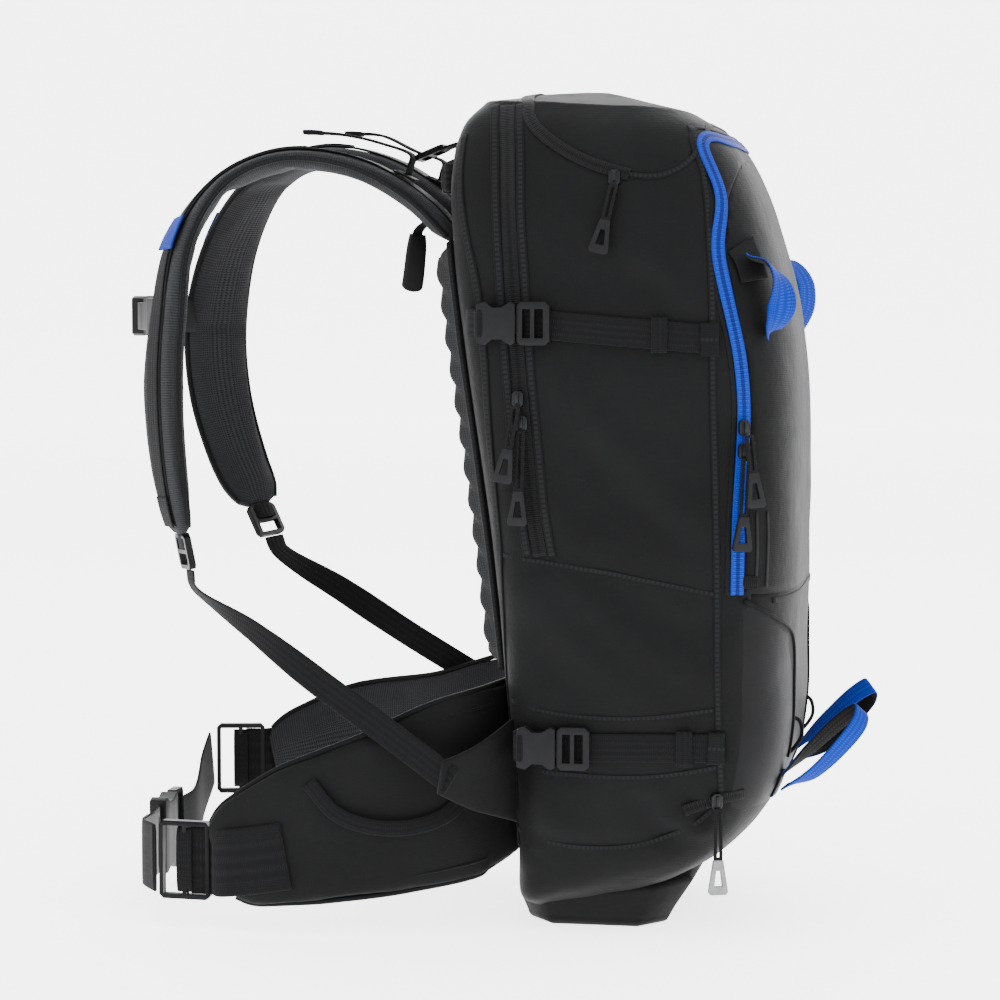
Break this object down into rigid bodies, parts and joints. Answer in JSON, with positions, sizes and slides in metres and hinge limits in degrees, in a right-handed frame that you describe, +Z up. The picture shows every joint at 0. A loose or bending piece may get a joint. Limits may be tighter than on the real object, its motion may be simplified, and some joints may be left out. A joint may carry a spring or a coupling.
{
  "type": "ski backpack",
  "caption": "Upright ski touring backpack with opening front tool panel, padded shoulder straps and hip belt, side release buckles, axe loops and zip sliders.",
  "frame": {"origin": "middle of the flat underside of the base panel, on the bag's plane of symmetry", "axes": "+Z up the bag, +X away from the wearer's back, +Y towards the wearer's right"},
  "size_m": [0.548, 0.349, 0.597],
  "materials": {
    "shell_fabric": "matte coated woven nylon",
    "lining": "plain lining fabric",
    "rubber_base": "matte moulded",
    "frame_plastic": "matte sheet",
    "aluminium_rod": "satin",
    "back_foam": "ribbed moulded foam under mesh",
    "harness_mesh": "spacer mesh and smooth face fabric",
    "blue_zip": "coil zip tape",
    "blue_webbing": "woven webbing",
    "black_webbing": "woven webbing",
    "buckle_plastic": "moulded acetal, satin",
    "zip_metal": "black lacquered",
    "pull_plastic": "moulded grip on cord"
  },
  "bodies": {
    "pack": {"main_shell": "shell_fabric", "top_pocket": "shell_fabric", "divider": "lining", "base_panel": "rubber_base", "frame_sheet": "frame_plastic", "frame_rod": "aluminium_rod", "back_pad": "back_foam", "shoulder_strap_left": "harness_mesh", "shoulder_strap_right": "harness_mesh", "hip_wing_left": "harness_mesh", "hip_wing_right": "harness_mesh", "front_zip": "blue_zip", "upper_side_web_left": "black_webbing", "upper_side_web_right": "black_webbing", "lower_side_web_left": "black_webbing", "lower_side_web_right": "black_webbing", "lower_web_left": "black_webbing", "lower_web_right": "black_webbing", "lifter_web_left": "black_webbing", "lifter_web_right": "black_webbing", "haul_loop": "black_webbing", "waist_web": "black_webbing", "gear_loop": "black_webbing", "upper_side_socket_left": "buckle_plastic", "upper_side_socket_right": "buckle_plastic", "lower_side_socket_left": "buckle_plastic", "lower_side_socket_right": "buckle_plastic", "strap_lock_left": "buckle_plastic", "strap_lock_right": "buckle_plastic", "lifter_lock_left": "buckle_plastic", "lifter_lock_right": "buckle_plastic", "waist_lock_left": "buckle_plastic", "waist_lock_right": "buckle_plastic", "waist_socket": "buckle_plastic"},
    "front_panel": {"front_panel": "shell_fabric", "tool_holder_left": "blue_webbing", "tool_holder_right": "blue_webbing"},
    "sternum_strap": {"sternum_socket": "buckle_plastic", "sternum_web": "black_webbing"},
    "sternum_plug": {"sternum_plug": "buckle_plastic"},
    "waist_plug": {"waist_plug": "buckle_plastic"},
    "hang_tab": {"hang_tab": "black_webbing"},
    "axe_loop_left": {"axe_loop_left": "blue_webbing"},
    "axe_loop_right": {"axe_loop_right": "blue_webbing"},
    "upper_side_plug_left": {"upper_side_plug_left": "buckle_plastic"},
    "upper_side_plug_right": {"upper_side_plug_right": "buckle_plastic"},
    "lower_side_plug_left": {"lower_side_plug_left": "buckle_plastic"},
    "lower_side_plug_right": {"lower_side_plug_right": "buckle_plastic"},
    "main_zip_upper_slider": {"main_zip_upper_slider": "zip_metal"},
    "main_zip_upper_pull": {"main_zip_upper_pull": "pull_plastic"},
    "main_zip_lower_slider": {"main_zip_lower_slider": "zip_metal"},
    "main_zip_lower_pull": {"main_zip_lower_pull": "pull_plastic"},
    "front_zip_upper_slider": {"front_zip_upper_slider": "zip_metal"},
    "front_zip_upper_pull": {"front_zip_upper_pull": "pull_plastic"},
    "front_zip_lower_slider": {"front_zip_lower_slider": "zip_metal"},
    "front_zip_lower_pull": {"front_zip_lower_pull": "pull_plastic"},
    "top_zip_slider": {"top_zip_slider": "zip_metal"},
    "top_zip_pull": {"top_zip_pull": "pull_plastic"},
    "base_zip_slider": {"base_zip_slider": "zip_metal"},
    "base_zip_pull": {"base_zip_pull": "pull_plastic"}
  },
  "joints": [
    {"name": "front_panel_open", "type": "hinge", "parent": "pack", "child": "front_panel", "pos_m": [0.1596, 0, 0.2428], "axis": [0, 1, 0], "range_deg": [0, 85]},
    {"name": "upper_side_release_left", "type": "slide", "parent": "pack", "child": "upper_side_plug_left", "axis": [1, 0, 0], "range_m": [0, 0.028]},
    {"name": "upper_side_release_right", "type": "slide", "parent": "pack", "child": "upper_side_plug_right", "axis": [1, 0, 0], "range_m": [0, 0.028]},
    {"name": "lower_side_release_left", "type": "slide", "parent": "pack", "child": "lower_side_plug_left", "axis": [1, 0, 0], "range_m": [0, 0.028]},
    {"name": "lower_side_release_right", "type": "slide", "parent": "pack", "child": "lower_side_plug_right", "axis": [1, 0, 0], "range_m": [0, 0.028]},
    {"name": "sternum_height", "type": "slide", "parent": "pack", "child": "sternum_strap", "axis": [0, 0, 1], "range_m": [-0.02, 0.02]},
    {"name": "sternum_release", "type": "slide", "parent": "sternum_strap", "child": "sternum_plug", "axis": [0, 1, 0], "range_m": [0, 0.028]},
    {"name": "waist_release", "type": "slide", "parent": "pack", "child": "waist_plug", "axis": [0, 1, 0], "range_m": [0, 0.028]},
    {"name": "main_zip_upper_slide", "type": "slide", "parent": "pack", "child": "main_zip_upper_slider", "axis": [-0.0698, 0, 0.9976], "range_m": [0, 0.026]},
    {"name": "main_zip_lower_slide", "type": "slide", "parent": "pack", "child": "main_zip_lower_slider", "axis": [0.1302, 0, -0.9915], "range_m": [0, 0.085]},
    {"name": "front_zip_upper_slide", "type": "slide", "parent": "pack", "child": "front_zip_upper_slider", "axis": [0, 0.02, 0.9998], "range_m": [0, 0.045]},
    {"name": "front_zip_lower_slide", "type": "slide", "parent": "pack", "child": "front_zip_lower_slider", "axis": [0, -0.01, -0.9999], "range_m": [0, 0.08]},
    {"name": "top_zip_slide", "type": "slide", "parent": "pack", "child": "top_zip_slider", "axis": [-0.8598, 0.1069, 0.4993], "range_m": [0, 0.028]},
    {"name": "base_zip_slide", "type": "slide", "parent": "pack", "child": "base_zip_slider", "axis": [0.9282, 0.3722, 0], "range_m": [0, 0.018]},
    {"name": "main_zip_upper_pull_swing", "type": "hinge", "parent": "main_zip_upper_slider", "child": "main_zip_upper_pull", "pos_m": [-0.02913, -0.14724, 0.371], "axis": [0.0173, 0.9997, -0.0189], "range_deg": [-35, 35]},
    {"name": "main_zip_lower_pull_swing", "type": "hinge", "parent": "main_zip_lower_slider", "child": "main_zip_lower_pull", "pos_m": [-0.02607, -0.14421, 0.354], "axis": [0.0173, 0.9998, -0.0085], "range_deg": [-35, 35]},
    {"name": "front_zip_upper_pull_swing", "type": "hinge", "parent": "front_zip_upper_slider", "child": "front_zip_upper_pull", "pos_m": [0.13102, -0.14012, 0.352], "axis": [-0.5349, 0.8437, -0.0458], "range_deg": [-35, 35]},
    {"name": "front_zip_lower_pull_swing", "type": "hinge", "parent": "front_zip_lower_slider", "child": "front_zip_lower_pull", "pos_m": [0.12907, -0.13838, 0.336], "axis": [-0.505, 0.8631, -0.0076], "range_deg": [-35, 35]},
    {"name": "top_zip_pull_swing", "type": "hinge", "parent": "top_zip_slider", "child": "top_zip_pull", "pos_m": [0.03624, -0.13077, 0.523], "axis": [-0.0499, 0.9721, -0.229], "range_deg": [-35, 35]},
    {"name": "base_zip_pull_swing", "type": "hinge", "parent": "base_zip_slider", "child": "base_zip_pull", "pos_m": [0.11053, -0.13295, 0.093], "axis": [-0.3725, 0.928, 0], "range_deg": [-35, 35]},
    {"name": "hang_tab_swing", "type": "hinge", "parent": "pack", "child": "hang_tab", "pos_m": [-0.1156, -0.064, 0.494], "axis": [0, 1, 0], "range_deg": [-4, 60]},
    {"name": "axe_loop_fold_left", "type": "hinge", "parent": "pack", "child": "axe_loop_left", "pos_m": [0.149, -0.064, 0.104], "axis": [0, 1, 0], "range_deg": [-6, 18]},
    {"name": "axe_loop_fold_right", "type": "hinge", "parent": "pack", "child": "axe_loop_right", "pos_m": [0.149, 0.064, 0.104], "axis": [0, 1, 0], "range_deg": [-6, 18]}
  ]
}
